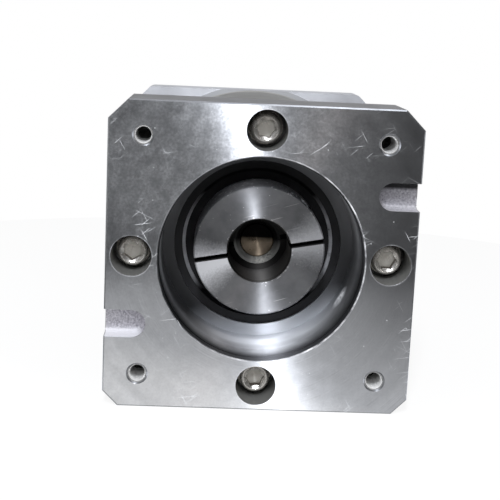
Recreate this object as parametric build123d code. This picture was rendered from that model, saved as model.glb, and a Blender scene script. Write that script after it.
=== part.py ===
from build123d import *
from math import acos, atan, cos, degrees, pi, radians, sin, sqrt, tan
import os

# Planetary gear reducer, millimetres. The gear axis is Y: the motor goes on at Y = 0, facing -Y,
# and the output shaft leaves towards +Y. +Z is up. The origin is the centre of the motor face.

# Motor adapter: a square plate with a round neck behind it
plate_rim = 4.0
plate_thick = 46.0
top_corner_cut = 11.5
bottom_corner_cut = 9.0
edge_bevel = 0.8
body_wall = 4.25
neck_length = 22.0
pilot_dia = 121.6
pilot_depth = 7.0
pilot_lead_in = 0.6
recess_dia = 120.0
recess_depth = 56.0
motor_hole_inset = 20.29
motor_tap_dia = 10.2
motor_thread_mouth = 13.0
motor_thread_depth = 30.0
drill_point_slope = 31.0

# Edge notches in the motor face
notch_centre = 40.5
notch_width = 16.5
notch_length = 24.5
notch_depth = 13.0
notch_floor_radius = 2.5

# Long screws that clamp the whole housing together
screw_dia = 12.0
screw_hold = 22.0
screw_passage_gap = 0.75
screw_head_dia = 18.0
screw_head_height = 12.0
screw_hex = 10.0
screw_head_front = 16.0
counterbore_dia = 24.0
washer_dia = 21.0
washer_bore = 12.4
washer_thick = 2.5
washer_split = 1.2
washer_split_angle = 70.0
thread_spare = 5.0

# Registers, dowels and sealing rings between the housing parts
register_step = 0.8125
register_wall = 3.25
register_length = 4.0
dowel_dia = 8.0
dowel_length = 16.0
dowel_angle = 45.0
seal_ring_width = 2.0
seal_ring_height = 1.3
fit_gap = 0.05

# Bearing carrier behind the adapter
carrier_length = 34.0
shoulder_height = 5.0
shoulder_thick = 3.0

# Input shaft with its clamp hub
hub_dia = 80.0
hub_face = 31.0
motor_bore_dia = 38.0
motor_bore_depth = 35.0
bore_lead_in = 1.0
bore_lead_length = 3.0
slit_width = 2.3
slit_depth = 24.5
slit_angle = 10.7
clamp_screw_dia = 8.0
clamp_screw_length = 25.0
clamp_head_dia = 13.0
clamp_head_height = 8.0
clamp_hex = 6.0
clamp_screw_offset = 29.0
clamp_screw_inset = 8.5
clamp_head_seat = 13.0
clamp_head_gap = 0.5
clamp_screw_gap = 0.3
clamp_thread_spare = 2.0
access_dia = 10.0
plug_length = 12.0
plug_inset = 1.5
plug_bevel = 0.8

# Input shaft seal
seal_gap = 2.0
input_seal_dia = 105.0
input_seal_width = 10.0
seal_skin_share = 0.4
seal_case_share = 0.16
seal_web = 5.0
lip_edge = 2.5
lip_land = 1.0
lip_height = 3.0
lip_root = 5.0
lip_gap = 0.05
seal_case_start = 1.5

# Input ball bearing
input_bearing_bore = 70.0
input_bearing_dia = 110.0
input_bearing_width = 20.0
ball_share = 0.615
ball_count = 11
ball_gap = 0.1
ball_land_share = 0.27
ball_cage_share = 0.65
ball_cage_thick = 2.0
shaft_end_spare = 2.0

# Retaining rings
ring_thick = 2.5
ring_height = 4.2
ring_groove_depth = 2.0
ring_opening = 14.0
ring_play = 0.1

# Gears
module = 1.75
sun_teeth = 18
planet_teeth = 27
annulus_teeth = 2 * planet_teeth + sun_teeth
planet_count = 3
pressure_angle = 20.0
flank_gap = 0.06
flank_steps = 3
planet_width = 27.6
planet_side_gap = 0.2
sun_overhang = 2.5
sun_end_gap = 1.5
shank_dia = 30.0
shank_well_dia = 22.0
shank_well_depth = 10.0
shank_bevel = 2.4
plug_dia = 21.4
plug_disc_thick = 5.0
plug_sink = 2.2
plug_disc_bevel = 0.6

# Planet carrier, forged in one piece with the output shaft
cage_gap = 5.0
cage_dia = 116.0
front_cheek_thick = 10.0
rear_cheek_thick = 14.0
pocket_gap = 1.2
sun_passage_gap = 4.5
thrust_washer_thick = 1.0
thrust_washer_dia = 29.0
pin_dia = 18.0
pin_end_wall = 4.0
needle_dia = 3.0
needle_count = 18
needle_gap = 0.02
needle_side_gap = 1.0
retainer_thick = 1.5
retainer_width = 22.0
retainer_screw_dia = 5.0
retainer_screw_length = 9.0
retainer_hole_gap = 0.5
retainer_head_dia = 9.0
retainer_head_top_dia = 6.0
retainer_head_height = 2.0
retainer_hex = 3.0
retainer_hex_depth = 1.5

# Output bearings, tapered roller, back to back
rear_seat_gap = 3.0
bearing_a_bore = 70.0
bearing_a_dia = 125.0
bearing_a_width = 24.0
bearing_b_bore = 65.0
bearing_b_dia = 120.0
bearing_b_width = 23.0
bearing_spread = 34.0
race_shoulder = 6.0
roller_slope = 12.0
roller_share = 0.58
roller_count = 15
roller_length_share = 0.66
roller_gap = 0.04
rib_height = 2.4
rib_gap = 0.2
spacer_wall = 6.0

# Output housing with its square flange
ring_gear_length = 54.0
flange_rim = 0.5
flange_thick = 28.0
flange_corner_cut = 10.0
flange_corner_radius = 6.0
housing_length = 80.0
flange_hole_inset = 16.79
flange_hole_dia = 13.5
flange_root_radius = 4.0
output_pilot_step = 7.5
output_pilot_length = 26.0
output_pilot_bevel = 1.5
output_seal_width = 12.0
output_seal_skin = 4.0
output_seal_bevel = 2.0
output_seal_sink = 1.2
output_seal_web = 2.5
seal_land_dia = 75.0

# Output shaft
shaft_dia = 55.0
shaft_length = 82.0
shaft_shoulder = 4.0
shaft_bevel = 2.0
key_angle = 150.0
key_width = 16.0
key_length = 70.0
key_slot_depth = 6.0
key_inset = 6.0
centre_tap_dia = 17.3
centre_tap_depth = 42.0
centre_mouth_dia = 24.0

# Sizes across the axis, which follow from the ring gear outwards
register_dia = module * (annulus_teeth + 2.5) + 2 * register_step
screw_circle_radius = register_dia / 2 + register_wall + screw_passage_gap + screw_dia / 2
body_dia = 2 * (screw_circle_radius + screw_passage_gap + screw_dia / 2 + body_wall)
plate_size = body_dia + 2 * plate_rim
flange_size = body_dia + 2 * flange_rim
motor_bolt_circle = sqrt(2) * (plate_size - 2 * motor_hole_inset)
flange_bolt_circle = sqrt(2) * (flange_size - 2 * flange_hole_inset)
output_pilot_dia = flange_size - 2 * output_pilot_step

# Sizes that follow from a bearing's or a seal's own section
ball_dia = ball_share * (input_bearing_dia - input_bearing_bore) / 2
seal_skin = seal_skin_share * (input_seal_dia - hub_dia) / 2
seal_case_wall = seal_case_share * (input_seal_dia - hub_dia) / 2

# Places along the axis, worked out from the sizes above
neck_end = plate_thick + neck_length
carrier_end = neck_end + carrier_length
neck_spigot_end = neck_end + register_length
seal_start = recess_depth + seal_gap
bearing_start = neck_spigot_end + shoulder_thick
bearing_end = bearing_start + input_bearing_width
motor_bore_end = hub_face + motor_bore_depth
clamp_screw_y = hub_face + clamp_screw_inset
input_ring_start = bearing_end + ring_play
input_shaft_end = input_ring_start + ring_thick + shaft_end_spare
annulus_end = carrier_end + ring_gear_length
flange_face = annulus_end + housing_length
cage_start = carrier_end + cage_gap
pocket_start = cage_start + front_cheek_thick
planet_start = pocket_start + thrust_washer_thick + planet_side_gap
planet_end = planet_start + planet_width
pocket_end = planet_end + planet_side_gap + thrust_washer_thick
cage_end = pocket_end + rear_cheek_thick
pin_start = cage_start
pin_end = cage_end - pin_end_wall
bearing_a_start = cage_end + rear_seat_gap
bearing_a_end = bearing_a_start + bearing_a_width
bearing_b_start = bearing_a_end + bearing_spread
bearing_b_end = bearing_b_start + bearing_b_width
flange_start = flange_face - flange_thick
pilot_end = flange_face + output_pilot_length
output_ring_start = bearing_b_end + ring_play
output_seal_start = pilot_end - output_seal_width - ring_play
land_start = output_ring_start + ring_thick + ring_play
land_end = pilot_end + ring_play
shaft_start = pilot_end + shaft_shoulder
shaft_end = shaft_start + shaft_length
washer_start = screw_head_front + screw_head_height
counterbore_depth = washer_start + washer_thick
screw_end = annulus_end + screw_hold
screw_length = screw_end - washer_start
planet_orbit = module * (sun_teeth + planet_teeth) / 2
needle_orbit = (pin_dia + needle_dia) / 2
planet_bore_dia = pin_dia + 2 * needle_dia


def prism(face, start, end):
    """A flat shape, drawn with X to the right and Y up, standing between two places on the axis."""
    return Pos(0, start, 0) * extrude(Plane.XZ * face, amount=start - end)


def rod(dia, start, end):
    return prism(Circle(dia / 2), start, end)


def tube(outer, inner, start, end):
    return rod(outer, start, end) - rod(inner, start, end)


def turned(*points):
    """A turned part from its half section, each point a radius and a place on the axis."""
    return revolve(make_face(Polyline(*points, close=True)), Axis.Y)


def turn(angle):
    """A turn about the gear axis, counter-clockwise as the motor sees it."""
    return Rot(0, -angle, 0)


def around(count, radius, start=0.0):
    """Even places on a circle about the gear axis."""
    return [turn(start + 360 * i / count) * Pos(radius, 0, 0) for i in range(count)]


def cut_square(size, top_cut, bottom_cut):
    half = size / 2
    return make_face(
        Polyline(
            (-half, bottom_cut - half),
            (-half, half - top_cut),
            (top_cut - half, half),
            (half - top_cut, half),
            (half, half - top_cut),
            (half, bottom_cut - half),
            (half - bottom_cut, -half),
            (bottom_cut - half, -half),
            close=True,
        )
    )


def socket_screw(dia, length, head_dia, head_height, hex_size):
    """A socket head cap screw. Its head rests at 0 and its shank runs towards +Y."""
    bevel = dia / 12
    head = turned(
        (0, -head_height),
        (head_dia / 2 - bevel, -head_height),
        (head_dia / 2, bevel - head_height),
        (head_dia / 2, 0),
        (0, 0),
    )
    shank = turned((0, 0), (dia / 2, 0), (dia / 2, length - bevel), (dia / 2 - bevel, length), (0, length))
    socket = RegularPolygon(hex_size / 2, 6, major_radius=False)
    return head + shank - prism(socket, -head_height, -head_height / 2)


def retaining_ring(outer, inner, start, opening_angle):
    """A flat spring ring with an opening between its two ends."""
    middle = (outer + inner) / 4
    opening = Pos(middle, start + ring_thick / 2, 0) * Box(outer - inner, 2 * ring_thick, ring_opening)
    return tube(outer, inner, start, start + ring_thick) - turn(opening_angle) * opening


def involute(angle):
    return tan(angle) - angle


def tooth_half_angle(teeth, radius, gap):
    """Half of a tooth's angle at a radius, with its flank set back by the gap."""
    pitch_radius = module * teeth / 2
    flank = acos(min(1, pitch_radius * cos(radians(pressure_angle)) / radius))
    return pi / (2 * teeth) + involute(radians(pressure_angle)) - involute(flank) - gap / pitch_radius


def gear_outline(teeth, root_radius, tip_radius, gap):
    """An involute gear outline with a tooth centred on +X."""
    base_radius = module * teeth / 2 * cos(radians(pressure_angle))
    foot = max(root_radius, base_radius)
    radii = [foot + (tip_radius - foot) * i / flank_steps for i in range(flank_steps + 1)]
    if root_radius < base_radius:
        radii.insert(0, root_radius)
    flank = [(radius, tooth_half_angle(teeth, max(radius, foot), gap)) for radius in radii]
    tooth = [(radius, -angle) for radius, angle in flank] + list(reversed(flank))
    outline = []
    for i in range(teeth):
        centre = 2 * pi * i / teeth
        outline += [(r * cos(centre + a), r * sin(centre + a)) for r, a in tooth]
    return make_face(Polyline(*outline, close=True))


def outer_gear(teeth):
    """The outline of a sun or planet gear."""
    pitch_radius = module * teeth / 2
    return gear_outline(teeth, pitch_radius - 1.25 * module, pitch_radius + module, flank_gap)


def annulus_space():
    """The outline that the ring gear's teeth leave open, turned to put a tooth on +X."""
    pitch_radius = module * annulus_teeth / 2
    outline = gear_outline(annulus_teeth, pitch_radius - module, pitch_radius + 1.25 * module, -flank_gap)
    return Rot(0, 0, 180 / annulus_teeth) * outline


def spigot_with_groove(end):
    """A male register that ends at a place on the axis, with the groove of its sealing ring."""
    spigot = rod(register_dia - 2 * fit_gap, end - register_length, end)
    groove_start = end - register_length / 2 - seal_ring_width / 2
    return spigot - tube(
        register_dia,
        register_dia - 2 * seal_ring_height - 2 * fit_gap,
        groove_start,
        groove_start + seal_ring_width,
    )


def seal_ring(spigot_end):
    start = spigot_end - register_length / 2 - seal_ring_width / 2
    return tube(
        register_dia - 2 * fit_gap,
        register_dia - 2 * fit_gap - 2 * seal_ring_height,
        start,
        start + seal_ring_width,
    )


def screw_passages(start, end):
    hole = rod(screw_dia + 2 * screw_passage_gap, start, end)
    return [place * hole for place in around(4, screw_circle_radius)]


def dowels(joint, gap):
    """The two dowels across a housing joint, or their holes with a gap all round."""
    half = dowel_length / 2 + gap
    pin = rod(dowel_dia + 2 * gap, joint - half, joint + half)
    return [place * pin for place in around(2, screw_circle_radius, dowel_angle)]


def edge_notch():
    """The U-ended notch at the right of the motor face."""
    radius = notch_width / 2
    side = plate_size / 2
    outline = Pos(side - notch_length / 2 + radius, notch_centre) * Rectangle(
        notch_length, notch_width
    ) + Pos(side - notch_length + radius, notch_centre) * Circle(radius)
    notch = prism(outline, 0, notch_depth)
    floor = notch.faces().sort_by(Axis.Y)[-1]
    return fillet(floor.edges(), notch_floor_radius)


def threaded_hole():
    """A blind tapped hole in the motor face, with its countersink and drill point."""
    radius = motor_tap_dia / 2
    mouth = motor_thread_mouth / 2
    return turned(
        (0, 0),
        (mouth, 0),
        (radius, mouth - radius),
        (radius, motor_thread_depth),
        (0, motor_thread_depth + radius * tan(radians(drill_point_slope))),
    )


def recess():
    """The stepped space in the adapter: the motor's register at the mouth and the deep recess behind it."""
    register = pilot_dia / 2
    wall = recess_dia / 2
    return turned(
        (0, 0),
        (register + pilot_lead_in, 0),
        (register, pilot_lead_in),
        (register, pilot_depth),
        (wall, pilot_depth),
        (wall, recess_depth),
        (0, recess_depth),
    )


def adapter():
    plate = prism(cut_square(plate_size, top_corner_cut, bottom_corner_cut), 0, plate_thick)
    plate = chamfer(plate.faces().sort_by(Axis.Y)[0].edges(), edge_bevel)
    solid = plate + rod(body_dia, plate_thick, neck_end) + spigot_with_groove(neck_spigot_end)
    solid -= recess()
    solid -= rod(input_seal_dia, recess_depth, neck_spigot_end)
    solid -= screw_passages(0, neck_end)
    solid -= [place * rod(counterbore_dia, 0, counterbore_depth) for place in around(4, screw_circle_radius)]
    solid -= [place * threaded_hole() for place in around(4, motor_bolt_circle / 2, 45)]
    solid -= [edge_notch(), turn(180) * edge_notch()]
    solid -= dowels(neck_end, fit_gap)
    return solid - access_hole()


def access_hole():
    """The hole in the left side through which a key reaches a clamp screw."""
    length = plate_size / 2
    hole = Pos(-length / 2, 0, 0) * Rot(0, 90, 0) * Cylinder(access_dia / 2, length)
    return Pos(0, clamp_screw_y, clamp_screw_offset) * hole


def access_plug():
    """A set screw that closes the access hole."""
    radius = access_dia / 2 - fit_gap
    plug = turned(
        (0, 0),
        (radius - plug_bevel, 0),
        (radius, plug_bevel),
        (radius, plug_length - plug_bevel),
        (radius - plug_bevel, plug_length),
        (0, plug_length),
    )
    plug -= prism(RegularPolygon(access_dia / 4, 6, major_radius=False), 0, plug_length / 2)
    return Pos(plug_inset - plate_size / 2, clamp_screw_y, clamp_screw_offset) * Rot(0, 0, -90) * plug


def bearing_carrier():
    solid = rod(body_dia, neck_end, carrier_end) + spigot_with_groove(carrier_end + register_length)
    solid -= rod(register_dia, neck_end, neck_spigot_end)
    solid -= rod(input_bearing_dia - 2 * shoulder_height, neck_spigot_end, bearing_start)
    solid -= rod(input_bearing_dia, bearing_start, carrier_end + register_length)
    solid -= rod(
        input_bearing_dia + 2 * ring_groove_depth,
        input_ring_start - ring_play,
        input_ring_start + ring_thick + ring_play,
    )
    solid -= screw_passages(neck_end, carrier_end)
    return solid - dowels(neck_end, fit_gap) - dowels(carrier_end, fit_gap)


def ring_gear():
    solid = rod(body_dia, carrier_end, annulus_end) - prism(annulus_space(), carrier_end, annulus_end)
    solid -= rod(register_dia, carrier_end, carrier_end + register_length)
    solid -= rod(register_dia, annulus_end - register_length, annulus_end)
    solid -= screw_passages(carrier_end, annulus_end)
    return solid - dowels(carrier_end, fit_gap) - dowels(annulus_end, fit_gap)


def output_flange():
    """The square flange with the fillet at its root."""
    corners = cut_square(flange_size, flange_corner_cut, flange_corner_cut)
    corners = fillet(corners.vertices(), flange_corner_radius)
    plate = prism(corners, flange_start, flange_face)
    plate = chamfer(plate.faces().sort_by(Axis.Y)[-1].edges(), edge_bevel)
    radius = body_dia / 2
    half_turn = radians(45)
    root_middle = radius + flange_root_radius * (1 - cos(half_turn))
    root = turned(
        (radius - flange_root_radius, flange_start - flange_root_radius),
        (radius, flange_start - flange_root_radius),
        (root_middle, flange_start - flange_root_radius * sin(half_turn)),
        (radius + flange_root_radius, flange_start),
        (radius - flange_root_radius, flange_start),
    )
    root &= prism(corners, flange_start - flange_root_radius, flange_start)
    plate += root
    hole = rod(flange_hole_dia, flange_start - flange_root_radius, flange_face)
    return plate - [place * hole for place in around(4, flange_bolt_circle / 2, 45)]


def output_housing():
    radius = output_pilot_dia / 2
    solid = rod(body_dia, annulus_end, flange_start) + output_flange()
    solid += turned(
        (0, flange_start),
        (radius, flange_start),
        (radius, pilot_end - output_pilot_bevel),
        (radius - output_pilot_bevel, pilot_end),
        (0, pilot_end),
    )
    spigot_start = annulus_end - register_length
    spigot = mirror(spigot_with_groove(register_length), Plane.XZ)
    solid += Pos(0, annulus_end, 0) * spigot
    solid -= rod(bearing_a_dia, spigot_start, bearing_a_end)
    solid -= rod(bearing_a_dia - 2 * race_shoulder, bearing_a_end, bearing_b_start)
    solid -= rod(bearing_b_dia, bearing_b_start, pilot_end)
    solid -= rod(
        bearing_b_dia + 2 * ring_groove_depth,
        output_ring_start - ring_play,
        output_ring_start + ring_thick + ring_play,
    )
    tapped = rod(screw_dia + 2 * fit_gap, annulus_end, screw_end + thread_spare)
    solid -= [place * tapped for place in around(4, screw_circle_radius)]
    return solid - dowels(annulus_end, fit_gap)


def housing_screws():
    screw = socket_screw(screw_dia, screw_length, screw_head_dia, screw_head_height, screw_hex)
    screw = Pos(0, washer_start, 0) * screw
    return [place * screw for place in around(4, screw_circle_radius)]


def housing_washers():
    """Split spring washers under the screw heads."""
    washer = tube(washer_dia, washer_bore, washer_start, counterbore_depth)
    washer -= Pos(washer_dia / 2, washer_start, 0) * Box(washer_dia, 3 * washer_thick, washer_split)
    return [place * turn(washer_split_angle) * washer for place in around(4, screw_circle_radius)]


def input_seal():
    """The rubber of the input shaft seal: its outer skin, web and lip."""
    outer = input_seal_dia / 2
    lip = hub_dia / 2 + lip_gap
    end = seal_start + input_seal_width
    return turned(
        (outer, seal_start),
        (outer, end),
        (lip + lip_height, end),
        (lip, end - lip_edge),
        (lip, end - lip_edge - lip_land),
        (lip + lip_root, end - seal_web),
        (outer - seal_skin, end - seal_web),
        (outer - seal_skin, seal_start),
    )


def input_seal_case():
    """The bare metal ring inside the seal's rubber, sloping down to the lip."""
    outer = input_seal_dia / 2 - seal_skin
    inner = outer - seal_case_wall
    start = seal_start + seal_case_start
    end = seal_start + input_seal_width - seal_web
    return turned((outer, start), (outer, end), (inner, end), (inner, start + seal_case_start))


def clamp_hub():
    """The input shaft: a slit clamp hub in front and the bearing seat behind."""
    bore = motor_bore_dia / 2
    hub = hub_dia / 2
    seat = input_bearing_bore / 2
    solid = turned(
        (bore + bore_lead_in, hub_face),
        (hub - edge_bevel, hub_face),
        (hub, hub_face + edge_bevel),
        (hub, bearing_start),
        (seat, bearing_start),
        (seat, input_shaft_end),
        (shank_dia / 2, input_shaft_end),
        (shank_dia / 2, motor_bore_end),
        (bore, motor_bore_end),
        (bore, hub_face + bore_lead_length),
    )
    groove_end = input_ring_start + ring_thick + ring_play
    solid -= tube(input_bearing_bore, input_bearing_bore - 2 * ring_groove_depth, bearing_end, groove_end)
    slit = Pos(0, hub_face + slit_depth / 2, 0) * Box(2 * hub_dia, slit_depth, slit_width)
    return solid - turn(slit_angle) * (slit + clamp_screw_hole() + turn(180) * clamp_screw_hole())


def clamp_screw_place():
    """Where the right clamp screw's head rests, with the slit level."""
    return Pos(clamp_screw_offset, clamp_screw_y, clamp_head_seat) * Rot(-90, 0, 0)


def clamp_screw_hole():
    thread_end = clamp_screw_length + clamp_thread_spare
    hole = rod(clamp_head_dia + 2 * clamp_head_gap, -hub_dia / 2, 0)
    hole += rod(clamp_screw_dia + 2 * clamp_screw_gap, 0, clamp_head_seat)
    hole += rod(clamp_screw_dia + 2 * fit_gap, clamp_head_seat, thread_end)
    return clamp_screw_place() * hole


def clamp_screws():
    screw = socket_screw(clamp_screw_dia, clamp_screw_length, clamp_head_dia, clamp_head_height, clamp_hex)
    screw = clamp_screw_place() * screw
    return [turn(slit_angle) * screw, turn(slit_angle + 180) * screw]


def sun_gear():
    """The sun pinion, with the shank that is fixed in the input shaft."""
    teeth_start = planet_start - sun_overhang
    root = module * sun_teeth / 2 - 1.25 * module
    well = shank_well_dia / 2
    shank = shank_dia / 2
    well_end = motor_bore_end + shank_well_depth
    stem = turned(
        (well, well_end),
        (well, motor_bore_end + shank_bevel),
        (well + shank_bevel, motor_bore_end),
        (shank, motor_bore_end),
        (shank, input_shaft_end),
        (root, input_shaft_end),
        (root, teeth_start),
        (0, teeth_start),
        (0, well_end),
    )
    return stem + prism(outer_gear(sun_teeth), teeth_start, planet_end + sun_overhang)


def bore_plug():
    """The turned disc that closes the sun pinion's well at the end of the motor bore."""
    start = motor_bore_end + plug_sink
    return turned(
        (0, start),
        (plug_dia / 2 - plug_disc_bevel, start),
        (plug_dia / 2, start + plug_disc_bevel),
        (plug_dia / 2, start + plug_disc_thick),
        (0, start + plug_disc_thick),
    )


def ball_groove(pitch_dia, middle):
    """The ring of space that the balls run in."""
    circle = Pos(pitch_dia / 2, middle) * Circle(ball_dia / 2 + ball_gap)
    return revolve(circle, Axis.Y)


def input_bearing():
    """Outer race, inner race and balls of the input bearing."""
    pitch_dia = (input_bearing_bore + input_bearing_dia) / 2
    middle = (bearing_start + bearing_end) / 2
    land = ball_dia * ball_land_share
    groove = ball_groove(pitch_dia, middle)
    outer = tube(input_bearing_dia, pitch_dia + 2 * land, bearing_start, bearing_end) - groove
    inner = tube(pitch_dia - 2 * land, input_bearing_bore, bearing_start, bearing_end) - groove
    ball = Pos(0, middle, 0) * Sphere(ball_dia / 2)
    balls = [place * ball for place in around(ball_count, pitch_dia / 2)]
    return outer, inner, balls


def input_cage():
    """The flat ribbon that keeps the balls apart."""
    pitch_dia = (input_bearing_bore + input_bearing_dia) / 2
    middle = (bearing_start + bearing_end) / 2
    half = ball_dia * ball_cage_share
    ribbon = tube(pitch_dia + ball_cage_thick, pitch_dia - ball_cage_thick, middle - half, middle + half)
    pocket = Pos(0, middle, 0) * Rot(0, 90, 0) * Cylinder(ball_dia / 2 + ball_gap, ball_dia)
    return ribbon - [place * pocket for place in around(ball_count, pitch_dia / 2)]


def tapered_bearing(start, bore, outer_dia, width, facing):
    """Cup, cone and rollers. Facing 1 puts the rollers' large ends towards +Y, and -1 towards -Y."""
    middle_radius = (bore + outer_dia) / 4
    axis_angle = radians(roller_slope)
    reach = middle_radius / sin(axis_angle)
    half_angle = atan(roller_share * (outer_dia - bore) / 4 / reach)
    apex = -reach * cos(axis_angle)
    length = width * roller_length_share
    low, high = -width / 2, width / 2

    def cone_radius(angle, place):
        return (place - apex) * tan(angle)

    cup = axis_angle + half_angle
    cone = axis_angle - half_angle
    cup_ring = turned(
        (outer_dia / 2, low),
        (outer_dia / 2, high),
        (cone_radius(cup, high), high),
        (cone_radius(cup, low), low),
    )
    small = (reach - length / 2) * tan(half_angle) - roller_gap
    large = (reach + length / 2) * tan(half_angle) - roller_gap
    rib_place = length / 2 * cos(axis_angle) + large * sin(axis_angle) + rib_gap
    cone_ring = turned(
        (bore / 2, low),
        (cone_radius(cone, low), low),
        (cone_radius(cone, rib_place), rib_place),
        (cone_radius(cone, rib_place) + rib_height, rib_place - rib_height * tan(axis_angle)),
        (cone_radius(cone, high) + rib_height, high),
        (bore / 2, high),
    )
    roller = turned((0, -length / 2), (small, -length / 2), (large, length / 2), (0, length / 2))
    roller = Rot(0, 0, -degrees(axis_angle)) * roller
    place = Pos(0, start + width / 2, 0) * (Rot(0, 0, 0) if facing > 0 else Rot(180, 0, 0))
    rollers = [place * spot * roller for spot in around(roller_count, middle_radius)]
    return place * cup_ring, place * cone_ring, rollers


def planet_places():
    """The planets sit at the top and at both lower sides."""
    return around(planet_count, planet_orbit, 90)


def carrier_shaft():
    """The planet cage and the output shaft in one piece."""
    seat_a = bearing_a_bore / 2
    seat_b = bearing_b_bore / 2
    shaft = shaft_dia / 2
    solid = turned(
        (0, cage_start),
        (cage_dia / 2, cage_start),
        (cage_dia / 2, cage_end),
        (seat_a + race_shoulder, cage_end),
        (seat_a + race_shoulder, bearing_a_start),
        (seat_a, bearing_a_start),
        (seat_a, bearing_b_start),
        (seat_b, bearing_b_start),
        (seat_b, land_end),
        (shaft, shaft_start),
        (shaft, shaft_end - shaft_bevel),
        (shaft - shaft_bevel, shaft_end),
        (0, shaft_end),
    )
    sun_passage = module * (sun_teeth + 2) + 2 * sun_passage_gap
    solid -= rod(sun_passage, cage_start, planet_end + sun_overhang + sun_end_gap)
    pocket = rod(module * (planet_teeth + 2) + 2 * pocket_gap, pocket_start, pocket_end)
    solid -= [place * pocket for place in planet_places()]
    solid -= [place * rod(pin_dia, cage_start, pin_end) for place in planet_places()]
    solid -= tube(bearing_b_bore, bearing_b_bore - 2 * ring_groove_depth, bearing_b_end, land_start)
    solid -= keyway()
    solid -= turned(
        (0, shaft_end),
        (centre_mouth_dia / 2, shaft_end),
        (centre_tap_dia / 2, shaft_end - (centre_mouth_dia - centre_tap_dia) / 2),
        (centre_tap_dia / 2, shaft_end - centre_tap_depth),
        (0, shaft_end - centre_tap_depth - centre_tap_dia / 2 * tan(radians(drill_point_slope))),
    )
    return solid - [place * retainer_hole() for place in retainer_places()]


def keyway():
    """The round-ended slot for a hub's key, in line with the space between two planets."""
    middle = shaft_end - key_inset - key_length / 2
    face = Pos(0, middle) * Rot(0, 0, 90) * SlotOverall(key_length, key_width)
    slot = Pos(0, 0, shaft_dia / 2 - key_slot_depth) * extrude(face, amount=2 * key_slot_depth)
    return turn(key_angle - 90) * slot


def retainer_places():
    return around(planet_count, planet_orbit, 90 + 180 / planet_count)


def retainer_hole():
    return rod(retainer_screw_dia + 2 * fit_gap, cage_start, cage_start + retainer_screw_length)


def pin_retainer():
    """The thin ring that keeps the planet pins from moving forwards."""
    start = cage_start - retainer_thick
    outer = 2 * planet_orbit + retainer_width
    ring = tube(outer, outer - 2 * retainer_width, start, cage_start)
    hole = rod(retainer_screw_dia + 2 * retainer_hole_gap, start, cage_start)
    return ring - [place * hole for place in retainer_places()]


def retainer_screws():
    """Low button screws that hold the retainer ring."""
    radius = retainer_screw_dia / 2
    seat = cage_start - retainer_thick
    top = seat - retainer_head_height
    end = cage_start + retainer_screw_length - retainer_thick
    screw = turned(
        (0, top),
        (retainer_head_top_dia / 2, top),
        (retainer_head_dia / 2, seat),
        (radius, seat),
        (radius, end),
        (0, end),
    )
    screw -= prism(RegularPolygon(retainer_hex / 2, 6, major_radius=False), top, top + retainer_hex_depth)
    return [place * screw for place in retainer_places()]


def planet_gear():
    return prism(outer_gear(planet_teeth), planet_start, planet_end) - rod(
        planet_bore_dia, planet_start, planet_end
    )


def needles():
    """The loose needle rollers between a pin and its planet."""
    needle = rod(needle_dia - 2 * needle_gap, planet_start + needle_side_gap, planet_end - needle_side_gap)
    return [place * needle for place in around(needle_count, needle_orbit)]


def thrust_washers():
    front = tube(thrust_washer_dia, pin_dia + 2 * fit_gap, pocket_start, pocket_start + thrust_washer_thick)
    rear = tube(thrust_washer_dia, pin_dia + 2 * fit_gap, pocket_end - thrust_washer_thick, pocket_end)
    return [place * washer for place in planet_places() for washer in (front, rear)]


def output_seal():
    """The rubber output seal, with its lip on the seal land."""
    outer = bearing_b_dia / 2
    lip = seal_land_dia / 2 + lip_gap
    end = output_seal_start + output_seal_width
    face = end - output_seal_sink
    return turned(
        (outer, output_seal_start),
        (outer, end),
        (outer - output_seal_skin, end),
        (outer - output_seal_skin - output_seal_bevel, face),
        (lip + lip_root, face),
        (lip, face - output_seal_web / 2),
        (lip, face - output_seal_web / 2 - lip_land),
        (lip + lip_height, face - output_seal_web - lip_land),
        (outer - output_seal_skin, face - output_seal_web - lip_land),
        (outer - output_seal_skin, output_seal_start),
    )


def save(name, shape):
    shape = Compound(children=list(shape)) if isinstance(shape, (list, ShapeList)) else shape
    export_step(shape, "parts/" + name + ".step")


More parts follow.
